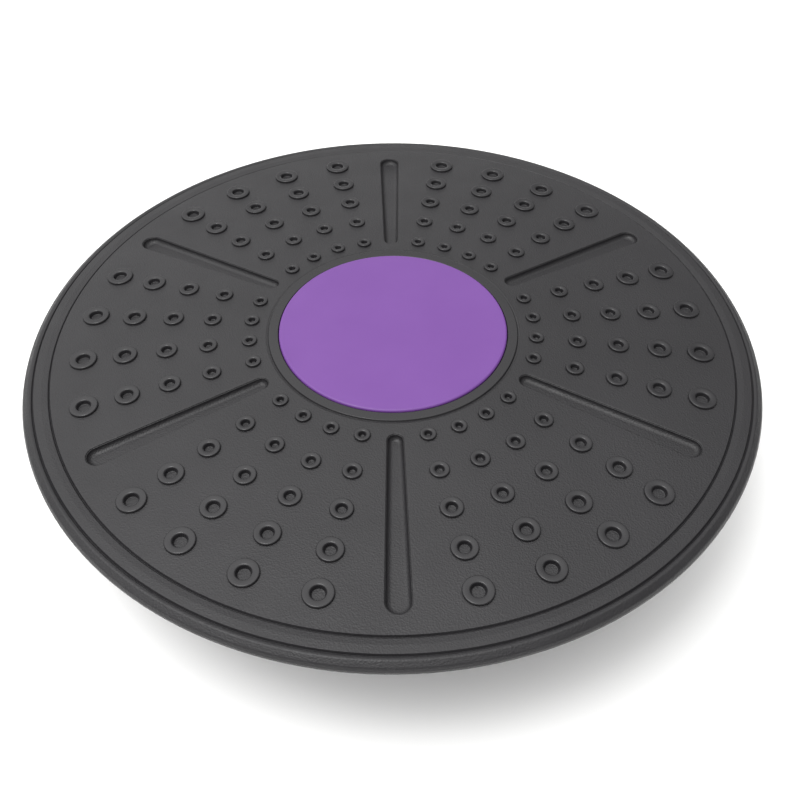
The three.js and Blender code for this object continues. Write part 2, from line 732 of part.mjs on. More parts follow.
const deck = new THREE.Group();
deck.add(
  piece('deck', makeDeck(), blackPolypropylene()),
  piece('centre_disc', makeCentreDisc(), purplePolypropylene(), discUnderside),
  piece('bearing_housing', makeBearingHousing(), blackPolypropylene()),
  upperRace,
  piece('pivot_bush', makePivotBush(), bushAcetal()),
  circleOf(SCREW_COUNT, DECK_SCREW_PITCH_RADIUS, recessFloor - SEAT_GAP, 'deck_screw',
    () => makeScrew(DECK_SCREW_LENGTH), zincSteel),
);

const board = new THREE.Group();
board.add(base, bearing, deck);

export default board;
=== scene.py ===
"""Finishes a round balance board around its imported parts.

The board is a shallow conical deck with raised massage rings and six grooves. It turns on a
ring of steel balls over a rounded dome, which rocks on a rubber foot.
"""

import math
from types import SimpleNamespace

import bpy
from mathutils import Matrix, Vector


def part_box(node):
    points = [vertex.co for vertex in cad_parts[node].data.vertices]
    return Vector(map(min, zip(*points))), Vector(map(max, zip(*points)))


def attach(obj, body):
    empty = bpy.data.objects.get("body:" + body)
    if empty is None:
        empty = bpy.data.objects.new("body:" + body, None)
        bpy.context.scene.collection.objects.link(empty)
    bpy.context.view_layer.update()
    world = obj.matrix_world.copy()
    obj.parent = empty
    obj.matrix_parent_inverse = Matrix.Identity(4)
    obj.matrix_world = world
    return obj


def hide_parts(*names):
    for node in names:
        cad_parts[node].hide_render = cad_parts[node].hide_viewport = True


bl_info = {
    "name": "Round Balance Board",
    "version": (1, 0, 0),
    "blender": (4, 5, 0),
    "location": "View3D > Sidebar > Balance Board",
    "description": "Models the pieces, finishes and studio of a swivelling balance board",
    "category": "Add Mesh",
}

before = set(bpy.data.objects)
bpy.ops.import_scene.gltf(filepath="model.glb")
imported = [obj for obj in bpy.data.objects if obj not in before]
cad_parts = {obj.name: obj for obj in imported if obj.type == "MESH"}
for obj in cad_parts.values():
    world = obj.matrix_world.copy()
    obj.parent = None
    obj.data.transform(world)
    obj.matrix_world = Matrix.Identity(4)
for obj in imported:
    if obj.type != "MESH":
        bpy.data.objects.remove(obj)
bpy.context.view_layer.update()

MM = 0.001
TURN = 2 * math.pi
AXIS = (0, 0, 1)
ORIGIN = (0, 0, 0)

WIDE_STEPS = 180  # facets round the deck
BASE_STEPS = 144  # facets round the dome and its plate
PAD_STEPS = 96  # facets round the rubber foot
ROD_STEPS = 32  # facets round posts, pins and screw holes
RING_STEPS = 26  # facets round a massage ring
SECTORS = 6
RING_ROWS = 5
RING_COLUMNS = 4
COLUMN_ANGLE = math.radians(12)
RIB_COUNT = 12
SCREW_COUNT = 6
CREASE = math.radians(32)  # edges sharper than this stay crisp
BURIED = 0.8  # millimetres that a raised shape reaches into the piece it joins
PAD_GROOVES = (12, 22)  # inner radii of the foot's grip grooves, in millimetres
WELD = 0.002  # millimetres within which points merge


# ---------------------------------------------------------------- sizes and colours


def linear(hex_colour):
    """An sRGB colour such as "8f65b0" as linear red, green, blue and alpha."""
    channels = [int(hex_colour[i : i + 2], 16) / 255 for i in (0, 2, 4)]
    return tuple(c / 12.92 if c <= 0.04045 else ((c + 0.055) / 1.055) ** 2.4 for c in channels) + (1.0,)


def length(name, millimetres, description):
    return bpy.props.FloatProperty(
        name=name, description=description, default=millimetres * MM, min=0, unit="LENGTH", precision=4
    )


def colour(name, hex_colour, description):
    return bpy.props.FloatVectorProperty(
        name=name, description=description, default=linear(hex_colour), size=4, min=0, max=1, subtype="COLOR"
    )


class DeckSizes(bpy.types.PropertyGroup):
    diameter: length("Diameter", 2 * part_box("deck")[1].x / MM, "Across the deck's outer edge")
    slope: bpy.props.FloatProperty(
        name="Slope", description="Fall of the deck per unit of radius", default=0.0424, min=0, precision=4
    )
    board_height: length("Board height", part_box("centre_disc")[1].z / MM, "Floor to the top of the disc")
    seat_gap: length("Seat gap", 0.3, "Left between two pieces that rest in each other")
    skin: length("Skin", 4, "Thickness of the deck's skin")
    rim_thickness: length("Rim thickness", 5.2, "Height of the outer edge")
    rim_nose: length("Rim nose", 2.4, "How far the outer edge rolls over")
    outer_band: length("Outer band", 5.9, "Band inside the edge")
    inner_band: length("Inner band", 7.7, "Band inside the outer one")
    collar_width: length("Collar width", 5.5, "Raised band round the centre disc")
    collar_step: length("Collar step", 0.6, "From the collar down to the deck")
    collar_edge: length("Collar edge", 0.5, "Width of the slant at that step")
    line_depth: length("Line depth", 1.2, "Depth of the fine lines round the deck")
    line_mouth: length("Line mouth", 0.48, "Depth at which a line's notch opens into its ramp")
    line_wall: length("Line wall", 0.6, "Width of a line's steep side")
    line_ramp: length("Line ramp", 3.5, "Width of a line's shallow side")
    rib: length("Rib", 2.5, "Thickness of the ribs underneath")
    rib_depth: length("Rib depth", 6, "Depth of the ribs where they meet the housing")
    ring_rib: length("Ring rib", 44, "From the housing to the ring-shaped rib")
    rim_wall: length("Rim wall", 3, "Thickness of the outer wall underneath")
    disc_radius: length("Disc radius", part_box("centre_disc")[1].x / MM, "Radius of the centre disc")
    disc_thickness: length("Disc thickness", 3, "Thickness of the centre disc")
    disc_proud: length("Disc proud", 0.8, "How far the disc stands above its collar")
    disc_round: length("Disc round", 1.1, "Corner radius of the disc's edge")
    skirt_wall: length("Skirt wall", 2, "Wall of the ring under the disc")
    skirt_depth: length("Skirt depth", 3, "Depth of the ring under the disc")


class RingSizes(bpy.types.PropertyGroup):
    height: length("Height", 1.2, "Height of a ring above the deck")
    first_diameter: length("First diameter", 7.7, "Across a ring of the inner row")
    last_diameter: length("Last diameter", 13.5, "Across a ring of the outer row")
    first_hole: length("First hole", 2.9, "Across the hole of an inner ring")
    last_hole: length("Last hole", 6.3, "Across the hole of an outer ring")
    hole_sink: length("Hole sink", 1.2, "How far a hole's floor lies below the deck")
    first_offset: length("First offset", 8.9, "From the collar to the inner row")
    last_offset: length("Last offset", 14.9, "From the outer row to the rim's bands")


class GrooveSizes(bpy.types.PropertyGroup):
    inner_width: length("Inner width", 7.5, "Width at the inner end")
    outer_width: length("Outer width", 11, "Width at the outer end")
    depth: length("Depth", 3.2, "Depth below the deck")
    corner: length("Corner", 2.6, "Round between the sides and the floor")
    lip: length("Lip", 0.5, "Round where the sides meet the deck")
    draft: length("Draft", 0.2, "How far the sides lean inwards")
    start_offset: length("Start offset", 6.7, "From the collar to the groove")
    end_offset: length("End offset", 8.7, "From the groove to the rim's bands")
    wall: length("Wall", 3, "Wall of the trough underneath")


class BaseSizes(bpy.types.PropertyGroup):
    sphere: length("Sphere radius", 82, "Radius of the dome's outer surface")
    wall: length("Wall", 3.5, "Thickness of the dome")
    bead: length("Bead", 2, "How far the top edge stands out")
    bead_height: length("Bead height", 3, "Height of the top edge's bead")
    post: length("Post radius", 4.6, "Radius of the screw posts")
    post_pitch: length("Post pitch", 28, "From the middle to a screw post")
    bulkhead: length("Bulkhead", 2, "Thickness of the ribs inside the dome")
    bulkhead_drop: length("Bulkhead drop", 6, "From the dome's top to its ribs")
    pad_radius: length("Pad radius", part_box("foot_pad")[1].x / MM, "Radius of the rubber foot")
    pad_thickness: length("Pad thickness", 4, "Thickness of the rubber foot")
    pad_proud: length("Pad proud", 2.7, "How far the foot stands below the dome")
    pad_groove: length("Pad groove", 2, "Width of a grip groove")
    pad_groove_depth: length("Pad groove depth", 1, "Depth of a grip groove")
    plate_top: length("Plate top", 54, "Height of the dome plate's upper face")
    plate: length("Plate", 4, "Thickness of the dome plate")
    spigot: length("Spigot", 4, "Depth of the plate's locating ring")
    spigot_wall: length("Spigot wall", 3, "Wall of the plate's locating ring")
    boss: length("Boss", 14, "Radius of the boss that holds the bolt's head")
    lip_height: length("Lip height", 5, "Height of the plate's outer lip")
    lip_wall: length("Lip wall", 2.5, "Wall of the plate's outer lip")
    lip_inset: length("Lip inset", 2, "From the plate's edge to its lip")
    race_recess: length("Race recess", 2, "Depth of the seat for a bearing race")
    housing_wall: length("Housing wall", 3, "Wall of the bearing housing")
    housing_top: length("Housing top", 3.5, "Top of the bearing housing")
    well: length("Well radius", 18, "Radius of the well round the pivot's nut")
    web: length("Web", 6, "Floor of that well")
    run_gap: length("Running gap", 1, "Between large pieces that turn past each other")
    spoke: length("Spoke", 2.5, "Thickness of the housing's spokes")
    race_width: length("Race width", 17.4, "Width of a bearing race")
    bolt: length("Bolt radius", 4, "Radius of the pivot bolt")
    bolt_flats: length("Bolt head", 13, "Across the flats of the bolt's head")
    bush_wall: length("Bush wall", 1.7, "Wall of the pivot's bush")
    bush_flange: length("Bush flange", 1.5, "Thickness of the bush's flange")


class ScrewSizes(bpy.types.PropertyGroup):
    shank: length("Shank", 1.9, "Radius of a screw's shank")
    head: length("Head", 3.8, "Radius of a screw's head")
    head_height: length("Head height", 2.2, "Height of a screw's head")
    boss: length("Boss", 4.6, "Radius of a boss that a deck screw bites into")
    boss_depth: length("Boss depth", 7, "Depth of that boss")
    deck_pitch: length("Deck pitch", 35, "From the middle to a deck screw")
    deck_length: length("Deck length", 12, "Length of a deck screw")
    dome_length: length("Dome length", 16, "Length of a dome screw")


class FinishColours(bpy.types.PropertyGroup):
    black: colour("Black", "1e1d1f", "Black polypropylene")
    black_worn: colour("Black, paler", "222123", "Paler drift in the black polypropylene")
    purple: colour("Purple", "673d86", "Purple polypropylene")
    purple_deep: colour("Purple, deeper", "643a83", "Deeper drift in the purple polypropylene")
    rubber: colour("Rubber", "1c1c1d", "Foot pad rubber")
    zinc: colour("Zinc", "b9bcc0", "Zinc-plated steel")
    steel: colour("Steel", "cfd1d3", "Hardened steel")
    acetal: colour("Acetal", "e3e1da", "Natural acetal")
    nylon: colour("Nylon", "e6e0d0", "Natural nylon")
    paper: colour("Floor", "f6f6f5", "Seamless paper on the floor")


class StudioSettings(bpy.types.PropertyGroup):
    camera_place: bpy.props.FloatVectorProperty(
        name="Camera place", description="Where the camera stands", default=(-0.0040, -0.3462, 0.3981),
        unit="LENGTH", subtype="TRANSLATION", precision=4,
    )
    camera_turn: bpy.props.FloatVectorProperty(
        name="Camera turn", description="How the camera is turned", subtype="EULER",
        default=tuple(math.radians(a) for a in (42.984, -0.129, -1.113)),
    )
    lens: bpy.props.FloatProperty(
        name="Lens", description="Focal length in millimetres", default=42.56, min=1, unit="CAMERA"
    )
    tent_dim: bpy.props.FloatProperty(
        name="Tent, dim side", description="Strength of the white light tent low down", default=0.36, min=0
    )
    tent_bright: bpy.props.FloatProperty(
        name="Tent, bright side", description="Strength of the white light tent overhead", default=2.5, min=0
    )
    key: bpy.props.FloatProperty(
        name="Key", description="Power of the softbox overhead", default=7, min=0, unit="POWER"
    )
    strip: bpy.props.FloatProperty(
        name="Strip", description="Power of the long softbox low behind the board", default=3, min=0,
        unit="POWER",
    )
    tent_lean: bpy.props.FloatVectorProperty(
        name="Tent lean", description="Where the tent is brightest", default=(-0.25, 0.0, 0.97),
        subtype="DIRECTION",
    )


GROUPS = {
    "board_deck": DeckSizes,
    "board_rings": RingSizes,
    "board_grooves": GrooveSizes,
    "board_base": BaseSizes,
    "board_screws": ScrewSizes,
    "board_colours": FinishColours,
    "board_studio": StudioSettings,
}


def in_mm(group):
    """A group of lengths as plain numbers in millimetres."""
    lengths = [key for key in group.__annotations__ if key != "slope"]
    return SimpleNamespace(**{key: getattr(group, key) / MM for key in lengths})


def measures():
    """Every size in millimetres, with the heights and radii that follow from them."""
    scene = bpy.context.scene
    m = SimpleNamespace(
        deck=in_mm(scene.board_deck),
        ring=in_mm(scene.board_rings),
        groove=in_mm(scene.board_grooves),
        base=in_mm(scene.board_base),
        screw=in_mm(scene.board_screws),
    )
    d, b = m.deck, m.base
    m.gap = d.seat_gap
    m.radius = d.diameter / 2
    m.inner_line = m.radius - d.outer_band - d.inner_band
    m.outer_line = m.radius - d.outer_band
    m.collar = d.disc_radius + d.collar_width
    m.collar_top = d.board_height - d.disc_proud
    m.slope = scene.board_deck.slope
    m.rim_top = surface(m, m.radius)
    m.rim_bottom = m.rim_top - d.rim_thickness
    m.disc_under = d.board_height - d.disc_thickness
    m.recess = m.disc_under - m.gap
    m.deck_seat = m.recess - d.skin
    m.housing_top = m.deck_seat - m.gap
    m.plate_bottom = b.plate_top - b.plate
    m.dome_top = m.plate_bottom - m.gap
    m.sphere_height = b.pad_proud + math.sqrt(b.sphere**2 - (b.pad_radius + m.gap) ** 2)
    m.dome_inner = b.sphere - b.wall
    m.pad_recess = b.pad_thickness + m.gap
    m.dome_floor = m.pad_recess + b.wall
    m.plate_radius = sphere_at(m, b.sphere, m.dome_top) + b.bead
    m.lip_outer = m.plate_radius - b.lip_inset
    m.lip_inner = m.lip_outer - b.lip_wall
    m.race_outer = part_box("upper_race")[1].x / MM
    m.race_inner = m.race_outer - b.race_width
    m.ball_pitch = (m.race_inner + m.race_outer) / 2
    m.race_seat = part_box("upper_race")[1].z / MM + m.gap
    m.skirt_inner = m.lip_outer + b.run_gap + b.lip_inset
    m.housing = m.skirt_inner + b.housing_wall
    m.web_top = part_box("pivot_bush")[1].z / MM - b.bush_flange - m.gap
    m.web_bottom = m.web_top - b.web
    m.groove_start = m.collar + m.groove.start_offset
    m.groove_end = m.inner_line - m.groove.end_offset
    return m


def surface(m, radius):
    """Height of the deck's upper side at a radius."""
    return m.collar_top - m.deck.collar_step - m.slope * (radius - m.collar)


def skin_under(m, radius):
    return surface(m, radius) - m.deck.skin


def sphere_at(m, sphere_radius, height):
    """Radius of one of the dome's spheres at a height."""
    return math.sqrt(sphere_radius**2 - (m.sphere_height - height) ** 2)


def between(start, end, share):
    return start + (end - start) * share


def arc(start, sweep, steps):
    """Angles spread evenly over a sweep, with both of its ends."""
    return [start + sweep * k / steps for k in range(steps + 1)]


def row_radius(m, row):
    """Radius of a row of massage rings; a fraction lies between two rows."""
    first = m.collar + m.ring.first_offset
    last = m.inner_line - m.ring.last_offset
    return between(first, last, row / (RING_ROWS - 1))


# ---------------------------------------------------------------- modelling


def pick(*pieces):
    """Selects these pieces alone, the first of them active."""
    bpy.ops.object.select_all(action="DESELECT")
    for piece in pieces:
        piece.select_set(True)
    bpy.context.view_layer.objects.active = pieces[0]


def edit(piece):
    pick(piece)
    bpy.ops.object.mode_set(mode="EDIT")
    bpy.ops.mesh.select_all(action="SELECT")


def eased(corners, steps=4):
    """Outline points from corners of a closed outline: a third number on a corner rounds it."""
    points = []
    for i, (x, z, *rounding) in enumerate(corners):
        if not rounding:
            points.append((x, z))
            continue
        here = Vector((x, z))
        before = Vector(corners[i - 1][:2]) - here
        after = Vector(corners[(i + 1) % len(corners)][:2]) - here
        half = before.angle(after) / 2
        reach = min(rounding[0] / math.tan(half), before.length * 0.48, after.length * 0.48)
        centre = here + (before.normalized() + after.normalized()).normalized() * (reach / math.cos(half))
        arm = here + before.normalized() * reach - centre
        sweep = math.pi - 2 * half
        if before.cross(after) > 0:
            sweep = -sweep
        for turn in arc(0, sweep, steps):
            cos, sin = math.cos(turn), math.sin(turn)
            points.append((centre.x + arm.x * cos - arm.y * sin, centre.y + arm.x * sin + arm.y * cos))
    return points


def draw(name, points):
    """A new piece in edit mode, drawn point by point from one vertex; the points are in millimetres."""
    bpy.ops.object.select_all(action="DESELECT")
    bpy.ops.mesh.primitive_plane_add(size=MM)
    piece = bpy.context.object
    piece.name = piece.data.name = name
    bpy.ops.object.mode_set(mode="EDIT")
    bpy.ops.mesh.select_all(action="SELECT")
    bpy.ops.mesh.merge(type="CENTER")
    places = [Vector(point) * MM for point in points]
    bpy.ops.transform.translate(value=places[0])
    for here, there in zip(places, places[1:]):
        bpy.ops.mesh.extrude_vertices_move(TRANSFORM_OT_translate={"value": there - here})
    bpy.ops.mesh.select_all(action="SELECT")
    return piece


def close_up():
    """Merges what coincides, turns the faces outwards and leaves edit mode."""
    bpy.ops.mesh.select_all(action="SELECT")
    bpy.ops.mesh.remove_doubles(threshold=WELD * MM)
    bpy.ops.mesh.normals_make_consistent(inside=False)
    bpy.ops.object.mode_set(mode="OBJECT")


def spun(name, corners, steps=WIDE_STEPS):
    """A piece turned round the upright axis from a section of (radius, height, rounding)."""
    points = eased(corners)
    if all(x > 0 for x, _ in points):
        points.append(points[0])
    piece = draw(name, [(x, 0, z) for x, z in points])
    bpy.ops.mesh.spin(steps=steps, angle=TURN, center=ORIGIN, axis=AXIS)
    close_up()
    return piece


def fin(name, corners, thickness):
    """An upright plate from an outline of (radius, height, rounding), centred on the X axis."""
    points = eased(corners)
    piece = draw(name, [(x, -thickness / 2, z) for x, z in points])
    bpy.ops.mesh.remove_doubles(threshold=WELD * MM)
    bpy.ops.mesh.edge_face_add()
    bpy.ops.mesh.extrude_region_move(TRANSFORM_OT_translate={"value": (0, thickness * MM, 0)})
    close_up()
    return piece


def rod(name, radius, bottom, top, pitch):
    """A pin or post at a distance along the X axis, with eased ends."""
    corners = [(0, bottom), (radius, bottom, 0.3), (radius, top, 0.3), (0, top)]
    return moved(spun(name, corners, ROD_STEPS), (pitch, 0, 0))


def moved(piece, offset, tilt=0):
    """Tilts a piece about Y, moves it by millimetres, and puts both in its mesh."""
    pick(piece)
    piece.rotation_euler.y = tilt
    piece.location = Vector(offset) * MM
    bpy.ops.object.transform_apply(location=True, rotation=True, scale=True)
    return piece


def turned(piece, angle):
    pick(piece)
    piece.rotation_euler.z = angle
    bpy.ops.object.transform_apply(location=True, rotation=True, scale=True)
    return piece


def around(piece, count, start=0.0, step=None):
    """Repeats a piece round the upright axis, anticlockwise from a starting angle."""
    step = TURN / count if step is None else step
    turned(piece, start + step * (count - 1))
    edit(piece)
    bpy.ops.mesh.spin(steps=count - 1, dupli=True, angle=step * (count - 1), center=ORIGIN, axis=AXIS)
    bpy.ops.object.mode_set(mode="OBJECT")
    return piece


def joined(pieces):
    pick(*pieces)
    bpy.ops.object.join()
    return pieces[0]


def combine(piece, operation, tool):
    """Adds the tool to the piece, or cuts it out, and removes the tool."""
    pick(piece)
    bpy.ops.object.modifier_add(type="BOOLEAN")
    modifier = piece.modifiers[-1]
    modifier.operation = operation
    modifier.solver = "MANIFOLD"
    modifier.object = tool
    bpy.ops.object.modifier_apply(modifier=modifier.name)
    bpy.data.objects.remove(tool)
    return piece


def shade(piece):
    """Smooth faces, crisp edges, and large faces that stay flat next to small roundings."""
    pick(piece)
    bpy.ops.object.shade_smooth_by_angle(angle=CREASE)
    bpy.ops.object.modifier_add(type="WEIGHTED_NORMAL")
    modifier = piece.modifiers[-1]
    modifier.keep_sharp = True
    bpy.ops.object.modifier_apply(modifier=modifier.name)


def settle(piece, body, slot, *nodes):
    """Puts a finished piece on its body in place of its CAD nodes."""
    shade(piece)
    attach(piece, body)
    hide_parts(*nodes)


def finish_with(piece, material):
    piece.data.materials.clear()
    piece.data.materials.append(material)


def screw_cutter(m, name, pitch, bottom, head_top, top):
    """The cutter for a countersunk hole of the small screws, repeated round the axis."""
    shank = m.screw.shank + m.gap
    head = m.screw.head + 2 * m.gap
    corners = [
        (0, bottom),
        (shank, bottom),
        (shank, head_top - m.screw.head_height - m.gap),
        (head, head_top),
        (head, top),
        (0, top),
    ]
    return around(moved(spun(name, corners, ROD_STEPS), (pitch, 0, 0)), SCREW_COUNT)


# ---------------------------------------------------------------- finishes


def add_node(tree, kind, settings, links):
    """Adds a shader node: settings name its sockets or its own options, links its input sockets."""
    node = tree.nodes.new(kind)
    for key, value in settings.items():
        if isinstance(key, int) or key in node.inputs:
            node.inputs[key].default_value = value
        else:
            setattr(node, key, value)
    for socket, source in links.items():
        tree.links.new(source, node.inputs[socket])
    return node


def per_size(millimetres):
    """The scale of a pattern whose repeat has this real size."""
    return 1 / (millimetres * MM)


def new_finish(name, **surface_settings):
    """A material with its shader set, its node tree, and the object's own coordinates."""
    material = bpy.data.materials.new(name)
    material.use_nodes = True
    tree = material.node_tree
    shader = tree.nodes["Principled BSDF"]
    for key, value in surface_settings.items():
        shader.inputs[key.replace("_", " ")].default_value = value
    place = add_node(tree, "ShaderNodeTexCoord", {}, {}).outputs["Object"]
    return SimpleNamespace(material=material, tree=tree, shader=shader, place=place)


def cloud(finish, size, detail=3.0, roughness=0.5):
    """A soft noise with patches of a real size in millimetres."""
    settings = {"Scale": per_size(size), "Detail": detail, "Roughness": roughness}
    return add_node(finish.tree, "ShaderNodeTexNoise", settings, {"Vector": finish.place}).outputs["Fac"]


def drift(finish, factor, first, second, low=0.35, high=0.65):
    """Lets the colour drift between two close shades."""
    stretch = {"From Min": low, "From Max": high}
    share = add_node(finish.tree, "ShaderNodeMapRange", stretch, {"Value": factor}).outputs["Result"]
    mix = add_node(finish.tree, "ShaderNodeMix", {"data_type": "RGBA", 6: first, 7: second}, {0: share})
    finish.tree.links.new(mix.outputs[2], finish.shader.inputs["Base Color"])


def vary_roughness(finish, factor, low, high):
    spread = {"From Min": 0.3, "From Max": 0.7, "To Min": low, "To Max": high}
    value = add_node(finish.tree, "ShaderNodeMapRange", spread, {"Value": factor}).outputs["Result"]
    finish.tree.links.new(value, finish.shader.inputs["Roughness"])


def relief(finish, height, depth, below=None):
    """Bumps the surface by a depth in millimetres; a second relief stands on the one below it."""
    links = {"Height": height}
    if below is not None:
        links["Normal"] = below
    bump = add_node(finish.tree, "ShaderNodeBump", {"Distance": depth * MM}, links).outputs["Normal"]
    finish.tree.links.new(bump, finish.shader.inputs["Normal"])
    return bump


def grained_black_polypropylene(colours):
    """Injection-moulded black polypropylene from a spark-eroded mould.

    Its fine pebbled grain breaks the light into a dull grey sheen with pale specks.
    """
    f = new_finish("Grained black polypropylene", IOR=1.49, Specular_IOR_Level=0.4)
    drift(f, cloud(f, 60), colours.black, colours.black_worn)
    vary_roughness(f, cloud(f, 18), 0.4, 0.5)
    # Real grain is about 0.3 mm; it is drawn at 0.75 mm, the finest that shows.
    pebbles = add_node(
        f.tree, "ShaderNodeTexVoronoi", {"feature": "SMOOTH_F1", "Scale": per_size(0.75), "Smoothness": 0.5},
        {"Vector": f.place},
    ).outputs["Distance"]
    below = relief(f, pebbles, 0.12)
    relief(f, cloud(f, 0.5, 2.0, 0.6), 0.07, below)
    return f.material


def smooth_black_polypropylene(colours):
    """The same moulding where the mould was polished: ring tops and the collar.

    No grain, so it shows a softer, more even sheen.
    """
    f = new_finish("Smooth black polypropylene", IOR=1.49, Specular_IOR_Level=0.4)
    drift(f, cloud(f, 60), colours.black, colours.black_worn)
    vary_roughness(f, cloud(f, 9), 0.24, 0.32)
    relief(f, cloud(f, 2.5, 2.0), 0.012)
    return f.material


def plain_black_polypropylene(colours):
    """Unseen mouldings of the base, from a mould left with its fine machining marks."""
    f = new_finish("Matt black polypropylene", IOR=1.49, Specular_IOR_Level=0.4)
    drift(f, cloud(f, 40), colours.black, colours.black_worn)
    vary_roughness(f, cloud(f, 8), 0.42, 0.52)
    relief(f, cloud(f, 0.7, 2.0), 0.03)
    return f.material


def purple_polypropylene(colours):
    """Injection-moulded purple polypropylene with an even satin sheen."""
    f = new_finish("Satin purple polypropylene", IOR=1.49, Specular_IOR_Level=0.4)
    drift(f, cloud(f, 35), colours.purple, colours.purple_deep)
    vary_roughness(f, cloud(f, 12), 0.4, 0.48)
    relief(f, cloud(f, 0.8, 2.0), 0.015)
    return f.material


def foot_rubber(colours):
    """Compression-moulded rubber: matt, with dust-fine mottling."""
    f = new_finish("Matt black rubber", IOR=1.52, Base_Color=colours.rubber)
    drift(f, cloud(f, 6, 5.0, 0.7), colours.rubber, colours.black)
    vary_roughness(f, cloud(f, 3), 0.75, 0.92)
    relief(f, cloud(f, 0.9, 3.0, 0.7), 0.06)
    return f.material


def zinc_plated_steel(colours):
    """Pressed and turned steel with bright zinc: soft cloudy spangle and a fine satin."""
    f = new_finish("Bright zinc-plated steel", Metallic=1.0)
    drift(f, cloud(f, 5, 4.0), colours.zinc, colours.steel)
    vary_roughness(f, cloud(f, 1.6, 3.0), 0.24, 0.4)
    relief(f, cloud(f, 0.4, 2.0), 0.008)
    return f.material


def polished_ball_steel(colours):
    """Ground and polished bearing steel: mirror bright with the faintest haze."""
    f = new_finish("Polished bearing steel", Metallic=1.0)
    drift(f, cloud(f, 3), colours.steel, colours.zinc, 0.2, 0.9)
    vary_roughness(f, cloud(f, 1.2), 0.06, 0.14)
    return f.material


def natural_plastic(name, ior, first, second):
    """Unpigmented engineering plastic: milky, with a waxy sheen."""
    f = new_finish(name, IOR=ior)
    drift(f, cloud(f, 4), first, second)
    vary_roughness(f, cloud(f, 2.5), 0.34, 0.46)
    relief(f, cloud(f, 0.6, 2.0), 0.01)
    return f.material


def finishes():
    """Every finish of the board, made once."""
    made = getattr(finishes, "made", None)
    if made is None:
        group = bpy.context.scene.board_colours
        colours = SimpleNamespace(**{key: tuple(getattr(group, key)) for key in group.__annotations__})
        made = finishes.made = SimpleNamespace(
            grained=grained_black_polypropylene(colours),
            smooth=smooth_black_polypropylene(colours),
            plain=plain_black_polypropylene(colours),
            purple=purple_polypropylene(colours),
            rubber=foot_rubber(colours),
            zinc=zinc_plated_steel(colours),
            balls=polished_ball_steel(colours),
            acetal=natural_plastic("Natural acetal", 1.48, colours.acetal, colours.nylon),
            nylon=natural_plastic("Natural nylon", 1.53, colours.nylon, colours.acetal),
        )
    return made


# ---------------------------------------------------------------- deck


def line(m, radius):
    """A fine line round the rim: a narrow notch, then a long ramp back up."""
    d = m.deck
    top = surface(m, radius)
    ramp_end = radius + d.line_wall + d.line_ramp
    return [
        (radius, top, 0.2),
        (radius + d.line_wall, top - d.line_depth, 0.1),
        (radius + 2 * d.line_wall, top - d.line_mouth, 0.4),
        (ramp_end, surface(m, ramp_end), 4),
    ]


def rib_bottom(m, radius):
    """Height of the ribs' lower edge, a cone from the housing to the rim."""
    inner = skin_under(m, m.housing) - m.deck.rib_depth
    return between(inner, m.rim_bottom, (radius - m.housing) / (m.radius - m.housing))


def deck_section(m):
    d = m.deck
    disc_hole = d.disc_radius + m.gap
    rim_inner = m.radius - d.rim_wall
    ring_rib = m.housing + d.ring_rib
    land = m.housing + m.gap
    rows = [row_radius(m, row) for row in (-0.4, 0.5, 1.5, 2.5, 3.5, 4.5)]
    roll = 1.4 * d.rim_nose  # how far in and down the rolled edge starts and ends
    return [
        (m.base.well, m.recess, 0.3),
        (disc_hole, m.recess, 0.2),
        (disc_hole, m.collar_top, 0.35),
        (m.collar - d.collar_edge, m.collar_top, 0.3),
        (m.collar, surface(m, m.collar) - d.collar_edge / 2, 0.08),
        (m.collar + 2 * d.collar_edge, surface(m, m.collar + 2 * d.collar_edge), 0.5),
        *[(radius, surface(m, radius)) for radius in rows],
        *line(m, m.inner_line),
        *line(m, m.outer_line)[:3],
        (m.radius - roll, surface(m, m.radius - roll), 3),
        (m.radius - 0.3 * d.rim_nose, m.rim_top - 0.7 * d.rim_nose, 2),
        (m.radius, m.rim_top - roll, 1),
        (m.radius, m.rim_bottom, 0.6),
        (rim_inner, m.rim_bottom, 0.5),
        (rim_inner, skin_under(m, rim_inner), 0.8),
        (ring_rib + d.rib, skin_under(m, ring_rib + d.rib), 0.6),
        (ring_rib + d.rib, rib_bottom(m, ring_rib), 0.4),
        (ring_rib, rib_bottom(m, ring_rib), 0.4),
        (ring_rib, skin_under(m, ring_rib), 0.6),
        (land, skin_under(m, land), 0.2),
        (land, m.deck_seat),
        (m.base.well, m.deck_seat, 0.2),
    ]


def radial_bar(m, name, inner, outer, bottom_at, thickness):
    """A bar under the skin that runs outwards, its upper edge buried in the skin."""
    middle = m.deck.skin / 2
    corners = [
        (inner, bottom_at(inner)),
        (outer, bottom_at(outer)),
        (outer, surface(m, outer) - middle),
        (inner, surface(m, inner) - middle),
    ]
    return fin(name, corners, thickness)


def ring_row(m, row, name, section_at):
    """A full row of turned shapes on the deck's slope: first one sector's columns, then all sectors."""
    share = row / (RING_ROWS - 1)
    outer = between(m.ring.first_diameter, m.ring.last_diameter, share) / 2
    hole = between(m.ring.first_hole, m.ring.last_hole, share) / 2
    radius = row_radius(m, row)
    shape = spun(name, section_at(outer, hole), RING_STEPS)
    moved(shape, (radius, 0, surface(m, radius)), math.atan(m.slope))
    around(shape, RING_COLUMNS, -COLUMN_ANGLE * (RING_COLUMNS - 1) / 2, COLUMN_ANGLE)
    return around(shape, SECTORS)


def massage_rings(m):
    """All raised rings, row by row: each a round bead that rolls over into its hole."""
    height = m.ring.height

    def bead(outer, hole):
        crest = between(hole, outer, 0.55)
        return [
            (0, -BURIED),
            (outer, -BURIED),
            (outer, 0),
            (outer - 0.1, height * 0.95, 0.9),
            (crest, height),
            (hole + 0.3, height * 0.8, 0.9),
            (hole - 0.1, 0),
            (0, 0),
        ]

    return joined([ring_row(m, row, "massage_ring", bead) for row in range(RING_ROWS)])


